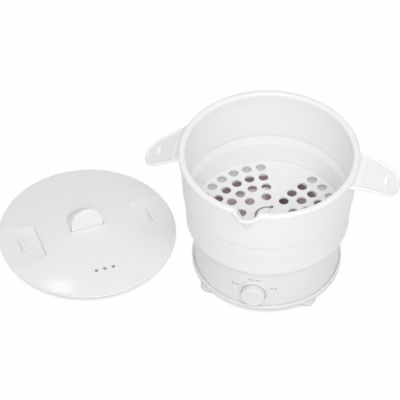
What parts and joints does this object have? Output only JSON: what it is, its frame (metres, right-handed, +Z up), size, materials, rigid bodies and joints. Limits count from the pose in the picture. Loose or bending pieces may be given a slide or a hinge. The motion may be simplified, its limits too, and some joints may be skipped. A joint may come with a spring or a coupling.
{
  "type": "electric hot pot",
  "caption": "Collapsible travel hot pot: folding silicone bowl with pouring lip and ears on a round heating base with a dial, perforated steamer tray inside, domed lid lying beside it.",
  "frame": {"origin": "on the pot's axis, at the table under its feet", "axes": "+Z up; the dial and the pouring lip face -Y; the ears lie nearly along X, the lid is at -X"},
  "size_m": [0.411, 0.1889, 0.153],
  "materials": {
    "base_plastic": "satin white",
    "knob_plastic": "semi-gloss white",
    "tray_plastic": "satin white",
    "lid_plastic": "gloss white",
    "silicone": "matt white silicone",
    "foot_rubber": "matt grey",
    "steel": "brushed",
    "aluminium": "plain",
    "brass": "plain",
    "black_plastic": "satin black",
    "brown_wire": "satin",
    "blue_wire": "satin",
    "green_wire": "satin"
  },
  "bodies": {
    "base": {"base_housing": "base_plastic", "bottom_cover": "base_plastic", "foot_front_right": "foot_rubber", "foot_front_left": "foot_rubber", "foot_back_right": "foot_rubber", "foot_back_left": "foot_rubber", "cover_screws": "steel", "heating_pan": "steel", "clamp_ring": "steel", "clamp_nuts": "steel", "spreader_plate": "aluminium", "heating_element": "steel", "heat_shield": "aluminium", "thermostat": "black_plastic", "thermal_fuse": "aluminium", "switch_body": "black_plastic", "switch_nut": "steel", "dial_collar": "base_plastic", "power_inlet": "black_plastic", "inlet_pins": "brass", "inlet_screws": "steel", "live_lead": "brown_wire", "load_lead": "brown_wire", "neutral_lead": "blue_wire", "earth_lead": "green_wire", "bowl_foot": "silicone", "bowl_fold": "silicone"},
    "dial": {"knob": "knob_plastic", "switch_shaft": "steel"},
    "bowl": {"bowl_upper": "silicone"},
    "left_ear": {"ear_left": "silicone"},
    "right_ear": {"ear_right": "silicone"},
    "tray": {"steamer_tray": "tray_plastic"},
    "tray_tongue": {"tray_lift_tab": "tray_plastic"},
    "cover_lid": {"lid": "lid_plastic", "lid_tab_pin": "steel"},
    "finger_tab": {"lid_tab": "lid_plastic"}
  },
  "joints": [
    {"name": "dial_turn", "type": "hinge", "parent": "base", "child": "dial", "pos_m": [0, -0.075, 0.028], "axis": [0, 1, 0], "range_deg": [0, 120]},
    {"name": "bowl_collapse", "type": "slide", "parent": "base", "child": "bowl", "axis": [0, 0, -1], "range_m": [0, 0.054], "deforming": ["bowl_fold"]},
    {"name": "ear_left_fold", "type": "hinge", "parent": "bowl", "child": "left_ear", "pos_m": [-0.09545, 0.00317, 0.1515], "axis": [0.0332, 0.9995, 0], "range_deg": [0, 178], "stiffness_Nm_per_rad": 0.01},
    {"name": "ear_right_fold", "type": "hinge", "parent": "bowl", "child": "right_ear", "pos_m": [0.09545, -0.00317, 0.1515], "axis": [-0.0332, -0.9995, 0], "range_deg": [0, 178], "stiffness_Nm_per_rad": 0.01},
    {"name": "tray_lift", "type": "slide", "parent": "base", "child": "tray", "axis": [0, 0, 1], "range_m": [0, 0.15]},
    {"name": "tray_tongue_flip", "type": "hinge", "parent": "tray", "child": "tray_tongue", "pos_m": [0, 0, 0.0627], "axis": [0.134, 0.991, 0], "range_deg": [0, 75], "stiffness_Nm_per_rad": 0.002},
    {"name": "lid_lift", "type": "slide", "parent": "base", "child": "cover_lid", "axis": [-0.7071, 0, 0.7071], "range_m": [0, 0.2]},
    {"name": "lid_tab_fold", "type": "hinge", "parent": "cover_lid", "child": "finger_tab", "pos_m": [-0.18725, -0.00577, 0.0131], "axis": [-0.8616, -0.5075, 0], "range_deg": [0, 90]}
  ]
}
